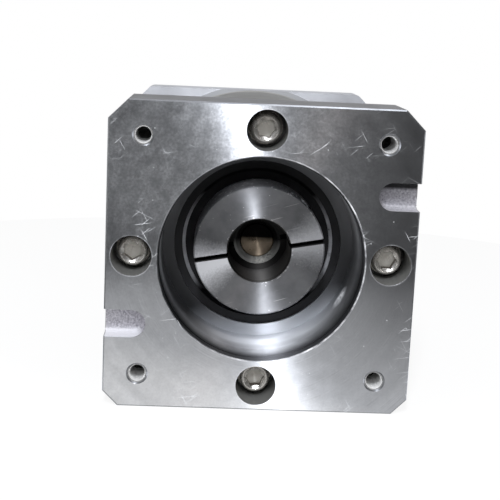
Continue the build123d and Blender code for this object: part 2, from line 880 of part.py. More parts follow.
def main():
    os.makedirs("parts", exist_ok=True)
    save("adapter", adapter())
    save("access_plug", access_plug())
    save("bearing_carrier", bearing_carrier())
    save("ring_gear", ring_gear())
    save("output_housing", output_housing())
    save("housing_screws", housing_screws())
    save("housing_washers", housing_washers())
    joints = (neck_end, carrier_end, annulus_end)
    save("dowel_pins", [pin for joint in joints for pin in dowels(joint, 0)])
    save("adapter_seal_ring", seal_ring(neck_spigot_end))
    save("carrier_seal_ring", seal_ring(carrier_end + register_length))
    save("housing_seal_ring", seal_ring(annulus_end))
    save("input_seal", input_seal())
    save("input_seal_case", input_seal_case())
    save("clamp_hub", clamp_hub())
    save("clamp_screws", clamp_screws())
    save("sun_gear", sun_gear())
    save("bore_plug", bore_plug())
    outer, inner, balls = input_bearing()
    save("input_bearing_outer", outer)
    save("input_bearing_inner", inner)
    save("input_bearing_balls", balls)
    save("input_bearing_cage", input_cage())
    bore_ring = input_bearing_dia + 2 * ring_groove_depth - 2 * ring_play
    save("input_bore_ring", retaining_ring(bore_ring, bore_ring - 2 * ring_height, input_ring_start, 270))
    shaft_ring = input_bearing_bore - 2 * ring_groove_depth + 2 * ring_play
    save("input_shaft_ring", retaining_ring(shaft_ring + 2 * ring_height, shaft_ring, input_ring_start, 90))
    save("carrier_shaft", carrier_shaft())
    save("pin_retainer", pin_retainer())
    save("retainer_screws", retainer_screws())
    save("thrust_washers", thrust_washers())
    for number, place in enumerate(planet_places(), 1):
        save(f"planet_gear_{number}", place * turn(180) * planet_gear())
        save(f"planet_pin_{number}", place * rod(pin_dia, pin_start, pin_end))
        save(f"planet_needles_{number}", [place * needle for needle in needles()])
    cup, cone, rollers = tapered_bearing(bearing_a_start, bearing_a_bore, bearing_a_dia, bearing_a_width, -1)
    save("bearing_a_cup", cup)
    save("bearing_a_cone", cone)
    save("bearing_a_rollers", rollers)
    cup, cone, rollers = tapered_bearing(bearing_b_start, bearing_b_bore, bearing_b_dia, bearing_b_width, 1)
    save("bearing_b_cup", cup)
    save("bearing_b_cone", cone)
    save("bearing_b_rollers", rollers)
    spacer_dia = bearing_a_bore + 2 * spacer_wall
    save("bearing_spacer", tube(spacer_dia, bearing_a_bore, bearing_a_end, bearing_b_start))
    bore_ring = bearing_b_dia + 2 * ring_groove_depth - 2 * ring_play
    save("output_bore_ring", retaining_ring(bore_ring, bore_ring - 2 * ring_height, output_ring_start, 270))
    shaft_ring = bearing_b_bore - 2 * ring_groove_depth + 2 * ring_play
    outer_ring = shaft_ring + 2 * ring_height
    save("output_shaft_ring", retaining_ring(outer_ring, shaft_ring, output_ring_start, 90))
    save("seal_land", tube(seal_land_dia, bearing_b_bore, land_start, land_end))
    save("output_seal", output_seal())


main()
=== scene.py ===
import math

import bmesh
import bpy
from mathutils import Matrix, Vector


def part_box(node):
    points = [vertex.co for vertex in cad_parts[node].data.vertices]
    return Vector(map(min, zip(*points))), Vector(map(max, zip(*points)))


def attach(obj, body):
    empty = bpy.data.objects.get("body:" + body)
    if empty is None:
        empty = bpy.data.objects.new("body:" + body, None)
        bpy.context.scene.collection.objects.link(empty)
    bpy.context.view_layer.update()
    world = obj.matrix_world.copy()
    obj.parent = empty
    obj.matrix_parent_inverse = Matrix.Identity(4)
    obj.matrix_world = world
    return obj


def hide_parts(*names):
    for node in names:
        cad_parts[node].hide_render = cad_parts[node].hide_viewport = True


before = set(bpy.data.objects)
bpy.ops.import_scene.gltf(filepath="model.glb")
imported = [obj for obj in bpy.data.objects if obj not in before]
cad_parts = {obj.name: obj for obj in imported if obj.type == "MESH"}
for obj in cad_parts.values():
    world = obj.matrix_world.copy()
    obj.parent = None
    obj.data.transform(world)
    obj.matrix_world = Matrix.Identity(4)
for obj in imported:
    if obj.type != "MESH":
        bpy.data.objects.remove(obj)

# A planetary gear reducer, seen from its motor side. Metres: the gear axis is Y, +Z is up, and the
# motor face is at Y = 0. Sizes come from the frame, or are those that the parts were machined to.
MM = 0.001
PLATE_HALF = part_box("adapter")[1][0]
HUB_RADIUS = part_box("clamp_hub")[1][0]
HUB_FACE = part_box("clamp_hub")[0][1]
SCREW_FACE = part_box("housing_screws")[0][1]
SCREW_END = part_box("housing_screws")[1][1]
PLANETS = (1, 2, 3)

# The motor face: how deep it goes with its bevels, where the painted shade in its holes starts, and their
# places, with the place of a painted glint on the recess wall
FACE_DEPTH = 0.85 * MM
HOLE_START = 0.4 * MM
RECESS_RADIUS = 62 * MM
MOUTH_BREAK_RADIUS = 61.15 * MM
GLINT_SPOT = (52 * MM, 40 * MM, -29 * MM)
SCREW_CIRCLE = 76 * MM
COUNTERBORE_RADIUS = 12.3 * MM
MOTOR_HOLE_OFFSET = 70.71 * MM
MOTOR_TAP_RADIUS = 5.1 * MM

# The two cast notches: how far out they start, how high they lie, and the depths that their skin covers
NOTCH_START = 66 * MM
NOTCH_HEIGHT = 40.5 * MM
NOTCH_REACH = 8.6 * MM
NOTCH_MIDDLE_DEPTH = 7.4 * MM
NOTCH_HALF_DEPTH = 6.2 * MM

# The hub with its slit, which is turned some degrees from level, and the housing behind
BORE_RADIUS = 20.4 * MM
SLIT_TURN = 10.7
# The slit is painted black this far on each side of its middle: painted shade that widens it
SLIT_HALF = 1.5 * MM
BODY_RADIUS = 87.6 * MM
FLANGE_FRONT = 208 * MM

# The M12 socket screws and the threads of the motor holes
SCREW_SEAT = 28 * MM
SHANK_RADIUS = 6 * MM
HEAD_RADIUS = 9 * MM
DISH_DEPTH = 0.5 * MM
SOCKET_CORNER = 5.77 * MM
SOCKET_MOUTH = 1.0 * MM
SOCKET_DEPTH = 6.5 * MM
SOCKET_DRILL = 4.7 * MM
DRILL_POINT = 2.4 * MM
THREAD_PITCH = 1.75 * MM
THREAD_ROOT = 5.15 * MM
THREAD_CREST = 4.6 * MM
THREAD_HALF = 0.75 * MM
THREAD_TURNS = 15

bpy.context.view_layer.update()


def linear(code):
    """An sRGB hex colour as the linear colour that a shader takes."""
    parts = [int(code[i : i + 2], 16) / 255 for i in (1, 3, 5)]
    return tuple(c / 12.92 if c <= 0.04045 else ((c + 0.055) / 1.055) ** 2.4 for c in parts) + (1.0,)


def add(tree, kind, links=None, out=None, **settings):
    """Adds a node with its settings and links, and gives back one of its outputs. A link is an output
    socket, and anything else is a plain value. A map range takes the value, the two ends that it runs
    from and the two that it runs to, as 0 to 4."""
    node = tree.nodes.new("ShaderNode" + kind)
    for name, value in settings.items():
        setattr(node, name, value)
    for socket, source in (links or {}).items():
        if isinstance(source, bpy.types.NodeSocket):
            tree.links.new(source, node.inputs[socket])
        else:
            node.inputs[socket].default_value = source
    if out:
        return node.outputs[out]
    return next((socket for socket in node.outputs if socket.enabled), None)


def finish(name, metallic, roughness, anisotropic=0.0):
    """A material with one shader, its tree, and the coordinates of the piece itself.
    A turned surface gets its grain round the gear axis, so lights stretch across the tool marks."""
    material = bpy.data.materials.new(name)
    material.use_nodes = True
    tree = material.node_tree
    shader = tree.nodes["Principled BSDF"]
    shader.inputs["Metallic"].default_value = metallic
    shader.inputs["Roughness"].default_value = roughness
    if anisotropic:
        shader.inputs["Anisotropic"].default_value = anisotropic
        shader.inputs["Anisotropic Rotation"].default_value = 0.25
        grain = add(tree, "Tangent", direction_type="RADIAL", axis="Y")
        tree.links.new(grain, shader.inputs["Tangent"])
    place = add(tree, "TexCoord", out="Object")
    return material, tree, shader, place


def connect(tree, shader, colour=None, roughness=None, metallic=None, relief=None, height=0.1 * MM):
    """Joins a finish's patterns to its shader. Relief is a height from 0 to 1, this many metres high."""
    for socket, source in (("Base Color", colour), ("Roughness", roughness), ("Metallic", metallic)):
        if source is not None:
            tree.links.new(source, shader.inputs[socket])
    if relief is not None:
        bump = add(tree, "Bump", {"Strength": 0.3, "Distance": height, "Height": relief})
        tree.links.new(bump, shader.inputs["Normal"])


def clouds(tree, place, size, detail=4.0, low=0.0, high=1.0):
    """Uneven patches of about this size, as a share that runs from low to high."""
    noise = add(tree, "TexNoise", {"Vector": place, "Scale": 1 / size, "Detail": detail, "Roughness": 0.6})
    return add(tree, "MapRange", {0: noise, 1: 0.32, 2: 0.68, 3: low, 4: high})


def tool_marks(tree, along, pitch):
    """The fine uneven lines that a cutting tool leaves as it moves along: a noise of one distance."""
    noise = add(tree, "TexNoise", {"W": along, "Scale": 1 / pitch, "Detail": 2.0}, noise_dimensions="1D")
    return add(tree, "MapRange", {0: noise, 1: 0.3, 2: 0.7})


def axis_distance(tree, place):
    """How far a point is from the gear axis."""
    flat = add(tree, "VectorMath", {0: place, 1: (1, 0, 1)}, operation="MULTIPLY")
    return add(tree, "VectorMath", {0: flat}, out="Value", operation="LENGTH")


def folded(tree, split):
    """A place on the motor face folded into an eighth of the plate, so that one point there stands for
    all four screws, and another for all four tapped holes."""
    across = add(tree, "Math", {0: split["X"]}, operation="ABSOLUTE")
    height = add(tree, "Math", {0: split["Z"]}, operation="ABSOLUTE")
    further = add(tree, "Math", {0: across, 1: height}, operation="MAXIMUM")
    nearer = add(tree, "Math", {0: across, 1: height}, operation="MINIMUM")
    return add(tree, "CombineXYZ", {0: further, 1: nearer})


def scratches(tree, place, angle, pitch, length, width):
    """Straight hair scratches in one direction on the face: one at most in each strip of the pitch, each
    with its own start, and missing where the patches of wear are thin."""
    turned = add(tree, "Mapping", {"Vector": place, "Rotation": (0, angle, 0)})
    split = add(tree, "SeparateXYZ", {0: turned}).node.outputs
    strip = add(tree, "Math", {0: split["Z"], 1: pitch}, operation="DIVIDE")
    row = add(tree, "Math", {0: strip}, operation="FLOOR")
    chance = add(tree, "TexWhiteNoise", {"W": row}, noise_dimensions="1D")
    along = add(tree, "Math", {0: split["X"], 1: length}, operation="DIVIDE")
    shifted = add(tree, "Math", {0: chance, 1: 9.0, 2: along}, operation="MULTIPLY_ADD")
    reach = add(tree, "Math", {0: shifted, 1: 1.0}, operation="PINGPONG")
    ends = add(tree, "MapRange", {0: reach, 1: 0.62, 2: 0.8})
    centre = add(tree, "Math", {0: chance, 1: 0.6, 2: 0.2}, operation="MULTIPLY_ADD")
    inside = add(tree, "Math", {0: strip}, operation="FRACT")
    aside = add(tree, "Math", {0: inside, 1: centre, 2: 0.5 * width / pitch}, operation="COMPARE")
    worn = clouds(tree, place, 26 * MM, 2.0, -1.2, 0.9)
    line = add(tree, "Math", {0: aside, 1: ends}, operation="MULTIPLY")
    return add(tree, "Math", {0: line, 1: worn}, operation="MULTIPLY", use_clamp=True)


def nicks(tree, place, spacing, size):
    """Bright nicks and dust: small dots at uneven places, a share of their spacing across."""
    cells = add(tree, "TexVoronoi", {"Vector": place, "Scale": 1 / spacing}, out="Distance")
    dots = add(tree, "MapRange", {0: cells, 1: size, 2: 0.4 * size})
    chance = add(tree, "SeparateColor", {0: cells.node.outputs["Color"]})
    kept = add(tree, "Math", {0: chance, 1: 0.8}, operation="GREATER_THAN")
    return add(tree, "Math", {0: dots, 1: kept}, operation="MULTIPLY")


def layered(tree, *layers):
    """Lays tones over each other: the first one, then pairs of a share and the tone that it brings."""
    tone = layers[0]
    for share, over in zip(layers[1::2], layers[2::2]):
        tone = add(tree, "Mix", {"Factor": share, "A": tone, "B": over}, data_type="RGBA")
    return tone


def cast_notches(tree, place):
    """Where the two notches are, their tone and their bumps. They keep the grainy skin of the mould. A
    painted highlight brightens their lower lips, which face up, the left one most, and painted shade
    darkens the right notch, most at its top."""
    split = add(tree, "SeparateXYZ", {0: place}).node.outputs
    across = add(tree, "Math", {0: split["X"]}, operation="ABSOLUTE")
    height = add(tree, "Math", {0: split["Z"]}, operation="ABSOLUTE")
    aside = add(tree, "Math", {0: across, 1: NOTCH_START}, operation="GREATER_THAN")
    inside = add(tree, "Math", {0: across, 1: PLATE_HALF - 0.4 * MM}, operation="LESS_THAN")
    level = add(tree, "Math", {0: height, 1: NOTCH_HEIGHT, 2: NOTCH_REACH}, operation="COMPARE")
    depth = split["Y"]
    covered = add(tree, "Math", {0: depth, 1: NOTCH_MIDDLE_DEPTH, 2: NOTCH_HALF_DEPTH}, operation="COMPARE")
    # They lie right above and left below, where X times Z is over zero
    corner = add(tree, "Math", {0: split["X"], 1: split["Z"]}, operation="MULTIPLY")
    cast = add(tree, "Math", {0: corner, 1: 0.0}, operation="GREATER_THAN")
    for limit in (aside, inside, level, covered):
        cast = add(tree, "Math", {0: cast, 1: limit}, operation="MULTIPLY")

    upwards = add(tree, "Math", {0: split["Z"]}, operation="SIGN")
    above = add(tree, "Math", {0: upwards, 1: -NOTCH_HEIGHT, 2: split["Z"]}, operation="MULTIPLY_ADD")
    # Painted highlight: the lower lip, which faces up, is painted bright, more on the left
    lip_highlight = add(tree, "MapRange", {0: above, 1: 4 * MM - NOTCH_REACH, 2: 1 * MM - NOTCH_REACH})
    painted_highlight_share = add(tree, "MapRange", {0: split["X"], 1: -60 * MM, 2: 60 * MM, 3: 0.9, 4: 0.25})
    lip_highlight = add(tree, "Math", {0: lip_highlight, 1: painted_highlight_share}, operation="MULTIPLY")
    # Painted shade: the right notch is painted darker all over, and darker still at the top of its floor,
    # under its upper edge
    on_right = add(tree, "Math", {0: split["X"], 1: 0.0}, operation="GREATER_THAN")
    right_notch_shade = add(tree, "Math", {0: on_right, 1: 0.3}, operation="MULTIPLY")
    shaded = add(tree, "MapRange", {0: above, 1: 2.4 * MM, 2: 4.4 * MM})
    shaded = add(tree, "Math", {0: shaded, 1: on_right}, operation="MULTIPLY")

    skin = clouds(tree, place, 1.3 * MM, 3.0)
    tone = layered(tree, linear("#8c8b92"), skin, linear("#dad8de"), right_notch_shade, linear("#77767c"))
    tone = layered(tree, tone, lip_highlight, linear("#f2f2f6"), shaded, linear("#2e2e30"))
    bumps = add(tree, "Math", {0: skin, 1: cast}, operation="MULTIPLY")
    return cast, tone, bumps


def drilled_holes(tree, place, face, sunk):
    """Where the plate is drilled, which takes painted shade, and where the edges of its holes are painted
    bright, partly worn and partly a painted highlight: round the recess, most on the right, and less round
    the counterbores and the tapped holes."""
    split = add(tree, "SeparateXYZ", {0: place}).node.outputs
    radius = axis_distance(tree, place)
    edge_wear_and_highlight = add(tree, "Math", {0: radius, 1: MOUTH_BREAK_RADIUS, 2: 0.4 * MM}, operation="COMPARE")
    # Painted highlight: the edge of the recess is painted brighter towards the right
    worn = add(tree, "MapRange", {0: split["X"], 1: -40 * MM, 2: 30 * MM, 3: 0.3, 4: 1.0})
    edge_wear_and_highlight = add(tree, "Math", {0: edge_wear_and_highlight, 1: worn}, operation="MULTIPLY")
    spot = folded(tree, split)
    drilled = 0.0
    for centre, reach in (
        ((SCREW_CIRCLE, 0, 0), COUNTERBORE_RADIUS),
        ((MOTOR_HOLE_OFFSET, MOTOR_HOLE_OFFSET, 0), MOTOR_TAP_RADIUS + 0.3 * MM),
    ):
        gap = add(tree, "VectorMath", {0: spot, 1: centre}, out="Value", operation="DISTANCE")
        hole_shade = add(tree, "Math", {0: gap, 1: reach}, operation="LESS_THAN")
        drilled = add(tree, "Math", {0: drilled, 1: hole_shade}, operation="ADD")
        around = add(tree, "Math", {0: gap, 1: reach, 2: 0.2 * MM}, operation="COMPARE")
        around = add(tree, "Math", {0: around, 1: 0.4}, operation="MULTIPLY")
        edge_wear_and_highlight = add(tree, "Math", {0: edge_wear_and_highlight, 1: around}, operation="MAXIMUM")
    # Painted shade: inside the drilled holes the plate takes a darker tone
    drilled = add(tree, "Math", {0: drilled, 1: sunk}, operation="MULTIPLY")
    edge_wear_and_highlight = add(tree, "Math", {0: edge_wear_and_highlight, 1: face}, operation="MULTIPLY")
    patchy_highlight = clouds(tree, place, 9 * MM)
    edge_wear_and_highlight = add(tree, "Math", {0: edge_wear_and_highlight, 1: patchy_highlight}, operation="MULTIPLY", use_clamp=True)
    return drilled, edge_wear_and_highlight


def recess_wall(tree, place, recess, outside):
    """The tone of the recess wall, over the tone outside it, and its two bright shares, which are painted
    light. Painted shade makes it dark at the mouth, it is grey behind, and a painted highlight makes it
    bright low down, where it faces up. On its right, a painted glint stands for the lamp's reflection."""
    split = add(tree, "SeparateXYZ", {0: place}).node.outputs
    # Painted shade: dark near the mouth, grey further in
    mouth = add(tree, "MapRange", {0: split["Y"], 1: 8 * MM, 2: 24 * MM, 3: 1.0, 4: 0.0})
    mouth = add(tree, "Math", {0: mouth, 1: recess}, operation="MULTIPLY")
    deep = add(tree, "MapRange", {0: split["Y"], 1: 24 * MM, 2: 36 * MM})
    deep = add(tree, "Math", {0: deep, 1: recess}, operation="MULTIPLY")
    # Painted highlight: the lower wall, which faces up, is painted bright
    leaning = add(tree, "Math", {0: split["X"], 1: -0.2, 2: split["Z"]}, operation="MULTIPLY_ADD")
    low = add(tree, "MapRange", {0: leaning, 1: -34 * MM, 2: -58 * MM})
    low = add(tree, "Math", {0: low, 1: deep}, operation="MULTIPLY")
    # Painted glint: a bright spot on the right of the wall, in place of the lamp's reflection
    gap = add(tree, "VectorMath", {0: place, 1: GLINT_SPOT}, out="Value", operation="DISTANCE")
    painted_highlight_share = add(tree, "MapRange", {0: gap, 1: 9 * MM, 2: 3 * MM})
    smeared = clouds(tree, place, 2.5 * MM, 3.0, 0.2, 1.3)
    painted_highlight_share = add(tree, "Math", {0: painted_highlight_share, 1: smeared}, operation="MULTIPLY", use_clamp=True)
    tone = layered(tree, outside, mouth, linear("#5a5b5e"), deep, linear("#8c8d90"))
    tone = layered(tree, tone, low, linear("#e6e9ee"), painted_highlight_share, linear("#fafbfd"))
    return tone, low, painted_highlight_share


def face_tone_with_painted_light(tree, place, rings, stains):
    """The tone of the turned face: painted light makes it bright low on the left, it is speckled and
    patchy, more so higher up, and painted shade darkens it on the right, less so lower down."""
    split = add(tree, "SeparateXYZ", {0: place}).node.outputs
    # Painted light: the lower left of the face is painted brighter
    low_left = add(tree, "Math", {0: split["X"], 1: 0.3, 2: split["Z"]}, operation="MULTIPLY_ADD")
    painted_low_left_light = add(tree, "MapRange", {0: low_left, 1: -66 * MM, 2: -90 * MM, 3: 0.0, 4: 0.9})
    upper = add(tree, "MapRange", {0: split["Z"], 1: -25 * MM, 2: 25 * MM, 3: 0.15, 4: 0.8})
    speckle = clouds(tree, place, 1.6 * MM, 3.0, -0.2, 0.9)
    speckle = add(tree, "Math", {0: speckle, 1: upper}, operation="MULTIPLY", use_clamp=True)
    dark_patches = clouds(tree, place, 6 * MM, 8.0, -0.3, 0.9)
    dark_patches = add(tree, "Math", {0: dark_patches, 1: upper}, operation="MULTIPLY", use_clamp=True)
    # Painted shade: the right side of the face is painted darker, fading towards the bottom
    oiled = add(tree, "MapRange", {0: split["X"], 1: 15 * MM, 2: 80 * MM, 3: 0.0, 4: 0.9})
    right_shade_fade = add(tree, "MapRange", {0: split["Z"], 1: -85 * MM, 2: -30 * MM, 3: 0.2, 4: 1.0})
    oiled = add(tree, "Math", {0: oiled, 1: right_shade_fade}, operation="MULTIPLY")
    tone = layered(tree, linear("#bec0c4"), stains, linear("#e0e2e6"), rings, linear("#d2d4d8"))
    tone = layered(tree, tone, painted_low_left_light, linear("#f8f9fb"), speckle, linear("#9fa1a5"))
    return layered(tree, tone, dark_patches, linear("#97999d"), oiled, linear("#909194"))


def handling_marks(tree, place, face):
    """Hair scratches in five directions and small nicks, on the motor face alone."""
    marks = nicks(tree, place, 4 * MM, 0.09)
    for angle, pitch, length in (
        (0.6, 9 * MM, 21 * MM),
        (-0.45, 11 * MM, 29 * MM),
        (2.1, 7 * MM, 12 * MM),
        (0.75, 5 * MM, 9 * MM),
        (0.15, 8 * MM, 16 * MM),
    ):
        found = scratches(tree, place, angle, pitch, length, 0.2 * MM)
        marks = add(tree, "Math", {0: marks, 1: found}, operation="MAXIMUM")
    return add(tree, "Math", {0: marks, 1: face}, operation="MULTIPLY")


def turned_aluminium():
    """Face-turned aluminium casting. The cutter's rings stretch every light into a streak through the
    centre, and handling has left hair scratches, nicks and dull stains. The two notches keep the grainy
    skin of the mould, painted shade darkens the drilled holes and the bevels, the recess wall and the
    notches carry painted light and shade, and the sides are milled and dull."""
    material, tree, shader, place = finish("turned_aluminium_casting", 1.0, 0.4, 0.96)
    radius = axis_distance(tree, place)
    depth = add(tree, "SeparateXYZ", {0: place}).node.outputs["Y"]
    face = add(tree, "Math", {0: depth, 1: FACE_DEPTH}, operation="LESS_THAN")
    sunk = add(tree, "Math", {0: depth, 1: HOLE_START}, operation="GREATER_THAN")
    bevel = add(tree, "Math", {0: depth, 1: 0.5 * MM, 2: 0.45 * MM}, operation="COMPARE")
    bored = add(tree, "Math", {0: radius, 1: RECESS_RADIUS}, operation="LESS_THAN")
    recess = add(tree, "Math", {0: bored, 1: sunk}, operation="MULTIPLY")
    machined = add(tree, "Math", {0: face, 1: bored}, operation="MAXIMUM")
    dull = add(tree, "Math", {0: 1.0, 1: machined}, operation="SUBTRACT")

    rings = tool_marks(tree, radius, 0.9 * MM)
    bands = tool_marks(tree, radius, 8 * MM)
    stains = clouds(tree, place, 13 * MM, 6.0)
    smears = clouds(tree, place, 45 * MM, 3.0)
    cast, notch, bumps = cast_notches(tree, place)
    drilled, edge_wear_and_highlight = drilled_holes(tree, place, face, sunk)
    marks = handling_marks(tree, place, face)

    # Painted shade: the bevels round the motor face are painted darker
    turned = layered(tree, face_tone_with_painted_light(tree, place, rings, stains), bevel, linear("#a2a4a8"))
    wall, lit_low_wall, painted_glint = recess_wall(tree, place, recess, turned)
    side = layered(tree, linear("#bcbcbd"), smears, linear("#cfcfd0"))
    # Painted shade: the darker tone inside the drilled holes
    hole_shade = layered(tree, linear("#7f7f7d"), smears, linear("#999996"))
    colour = layered(tree, wall, dull, side, cast, notch, drilled, hole_shade)
    colour = layered(tree, colour, marks, linear("#eceef0"), edge_wear_and_highlight, linear("#f4f5f7"))

    rough = add(tree, "MapRange", {0: stains, 3: 0.34, 4: 0.42})
    for share, more in (
        (bands, 0.05),
        (dull, 0.1),
        (bevel, 0.2),
        (cast, 0.2),
        (drilled, 0.1),
        (marks, 0.1),
    ):
        rough = add(tree, "Math", {0: share, 1: more, 2: rough}, operation="MULTIPLY_ADD")
    metal = 1.0
    for share, less in (
        (cast, 0.7),
        (drilled, 0.5),
        (marks, 0.9),
        (edge_wear_and_highlight, 0.9),
        (painted_glint, 0.8),
        (lit_low_wall, 0.4),
    ):
        metal = add(tree, "Math", {0: share, 1: -less, 2: metal}, operation="MULTIPLY_ADD", use_clamp=True)
    relief = add(tree, "Math", {0: rings, 1: 0.12, 2: bumps}, operation="MULTIPLY_ADD")
    connect(tree, shader, colour, rough, metal, relief, 0.3 * MM)
    # On the sides the milling runs towards the back, so no light stretches over their edges
    grain = shader.inputs["Tangent"].links[0].from_socket
    tree.links.new(layered(tree, grain, dull, (0.0, 1.0, 0.0, 1.0)), shader.inputs["Tangent"])
    return material


def housing_aluminium():
    """Machined housing parts: the round body is turned and dulled by oil, and the square faces are milled,
    pale and satin, with hardly any marks."""
    material, tree, shader, place = finish("milled_flange_aluminium", 1.0, 0.4)
    radius = axis_distance(tree, place)
    depth = add(tree, "SeparateXYZ", {0: place}).node.outputs["Y"]
    round_part = add(tree, "Math", {0: radius, 1: BODY_RADIUS}, operation="LESS_THAN")
    before_flange = add(tree, "Math", {0: depth, 1: FLANGE_FRONT - MM}, operation="LESS_THAN")
    body = add(tree, "Math", {0: round_part, 1: before_flange}, operation="MULTIPLY")
    patches = clouds(tree, place, 30 * MM, 3.0)
    feed = tool_marks(tree, depth, 0.8 * MM)
    grain = clouds(tree, place, 1.1 * MM, 1.0)
    milled = layered(tree, linear("#d0d2d7"), patches, linear("#dfe1e6"))
    turned = layered(tree, linear("#8f8f8d"), patches, linear("#a6a6a4"), feed, linear("#9b9b99"))
    # Painted shade: the fillet at the root of the flange, in front of its face, is painted darker
    root = add(tree, "Math", {0: depth, 1: FLANGE_FRONT - 0.1 * MM}, operation="LESS_THAN")
    colour = layered(tree, milled, root, linear("#a4a6aa"), body, turned)
    rough = add(tree, "MapRange", {0: patches, 3: 0.42, 4: 0.52})
    relief = layered(tree, grain, body, feed)
    connect(tree, shader, colour, rough, None, relief)
    return material


def ground_shaft():
    """Steel turned and then ground: the lathe's rings still show on its end, and it is bright and even."""
    material, tree, shader, place = finish("ground_shaft_steel", 1.0, 0.3, 0.9)
    rings = tool_marks(tree, axis_distance(tree, place), 0.6 * MM)
    patches = clouds(tree, place, 16 * MM)
    colour = layered(tree, linear("#a9aaac"), patches, linear("#bdbec0"))
    rough = add(tree, "MapRange", {0: patches, 3: 0.27, 4: 0.34})
    connect(tree, shader, colour, rough, None, rings, 0.02 * MM)
    return material


def turned_body():
    """The round steel body of the ring gear: turned along its length, dulled by oil, and evenly grey."""
    material, tree, shader, place = finish("turned_body_steel", 1.0, 0.44)
    depth = add(tree, "SeparateXYZ", {0: place}).node.outputs["Y"]
    feed = tool_marks(tree, depth, 0.8 * MM)
    patches = clouds(tree, place, 30 * MM, 3.0)
    colour = layered(tree, linear("#888886"), patches, linear("#9a9a97"), feed, linear("#929290"))
    rough = add(tree, "MapRange", {0: patches, 3: 0.42, 4: 0.5})
    connect(tree, shader, colour, rough, None, feed, 0.05 * MM)
    return material


def fan_highlight_by_slit(tree, place, radius):
    """Where a painted highlight brightens both halves of the hub's face, and where the slit is painted
    black. The painted highlight opens out from the slit like a fan, streaky at its edge, and is weaker on
    the right."""
    level = add(tree, "Mapping", {"Vector": place, "Rotation": (0, math.radians(SLIT_TURN), 0)})
    turned = add(tree, "SeparateXYZ", {0: level}).node.outputs
    slope = add(tree, "Math", {0: turned["Z"], 1: radius}, operation="DIVIDE")
    lean = add(tree, "MapRange", {0: turned["X"], 1: -30 * MM, 2: 30 * MM, 3: -0.14, 4: 0.0})
    fan = add(tree, "Math", {0: slope, 1: lean}, operation="SUBTRACT")
    fan = add(tree, "Math", {0: fan}, operation="ABSOLUTE")
    streaky = clouds(tree, place, 1.1 * MM, 3.0, -0.07, 0.07)
    fan = add(tree, "Math", {0: fan, 1: streaky}, operation="ADD")
    painted_fan_highlight = add(tree, "MapRange", {0: fan, 1: 0.1, 2: 0.5, 3: 0.95, 4: 0.0})
    on_left = add(tree, "MapRange", {0: turned["X"], 1: -15 * MM, 2: 25 * MM, 3: 1.0, 4: 0.6})
    painted_fan_highlight = add(tree, "Math", {0: painted_fan_highlight, 1: on_left}, operation="MULTIPLY")
    # Painted shade: a band along the slit is painted black
    off_slit = add(tree, "Math", {0: turned["Z"]}, operation="ABSOLUTE")
    slit = add(tree, "Math", {0: off_slit, 1: SLIT_HALF}, operation="LESS_THAN")
    return painted_fan_highlight, slit


def chipped_edges(tree, place, radius):
    """Bright chips along the rim of the hub's bore and along its outer edge."""
    rim = add(tree, "Math", {0: radius, 1: BORE_RADIUS - 0.1 * MM, 2: 0.5 * MM}, operation="COMPARE")
    edge = add(tree, "Math", {0: radius, 1: HUB_RADIUS - 0.4 * MM, 2: 0.8 * MM}, operation="COMPARE")
    edges = add(tree, "Math", {0: rim, 1: edge}, operation="MAXIMUM")
    chips = clouds(tree, place, 2.5 * MM, 2.0, -2.2, 0.9)
    return add(tree, "Math", {0: chips, 1: edges}, operation="MULTIPLY", use_clamp=True)


def hub_steel():
    """The clamp hub: its face is turned bright and carries a painted highlight, its edges are chipped, and
    painted shade makes its bore dark.
    """
    material, tree, shader, place = finish("turned_hub_steel", 1.0, 0.38, 0.96)
    radius = axis_distance(tree, place)
    depth = add(tree, "SeparateXYZ", {0: place}).node.outputs["Y"]
    # Painted shade: the bore behind the face is painted dark
    near_axis = add(tree, "Math", {0: radius, 1: BORE_RADIUS}, operation="LESS_THAN")
    behind_face = add(tree, "Math", {0: depth, 1: HUB_FACE + 0.4 * MM}, operation="GREATER_THAN")
    bore = add(tree, "Math", {0: near_axis, 1: behind_face}, operation="MULTIPLY")
    rings = tool_marks(tree, radius, 0.7 * MM)
    patches = clouds(tree, place, 16 * MM)
    marks = chipped_edges(tree, place, radius)
    for found in (
        nicks(tree, place, 2.6 * MM, 0.14),
        scratches(tree, place, 0.3, 6 * MM, 14 * MM, 0.3 * MM),
    ):
        marks = add(tree, "Math", {0: marks, 1: found}, operation="MAXIMUM")
    painted_fan_highlight, slit = fan_highlight_by_slit(tree, place, radius)
    off_bore = add(tree, "Math", {0: 1.0, 1: bore}, operation="SUBTRACT")
    painted_fan_highlight = add(tree, "Math", {0: painted_fan_highlight, 1: off_bore}, operation="MULTIPLY")
    colour = layered(tree, linear("#808184"), patches, linear("#9c9da0"), painted_fan_highlight, linear("#dcdde0"))
    colour = layered(tree, colour, marks, linear("#e6e6e8"), bore, linear("#403f3e"))
    colour = layered(tree, colour, slit, linear("#0c0c0c"))
    rough = add(tree, "MapRange", {0: patches, 3: 0.36, 4: 0.41})
    rough = add(tree, "Math", {0: bore, 1: 0.25, 2: rough}, operation="MULTIPLY_ADD")
    metal = add(tree, "Math", {0: painted_fan_highlight, 1: -0.5, 2: 1.0}, operation="MULTIPLY_ADD")
    metal = add(tree, "Math", {0: metal, 1: bore}, operation="MAXIMUM")
    connect(tree, shader, colour, rough, metal, rings, 0.02 * MM)
    return material


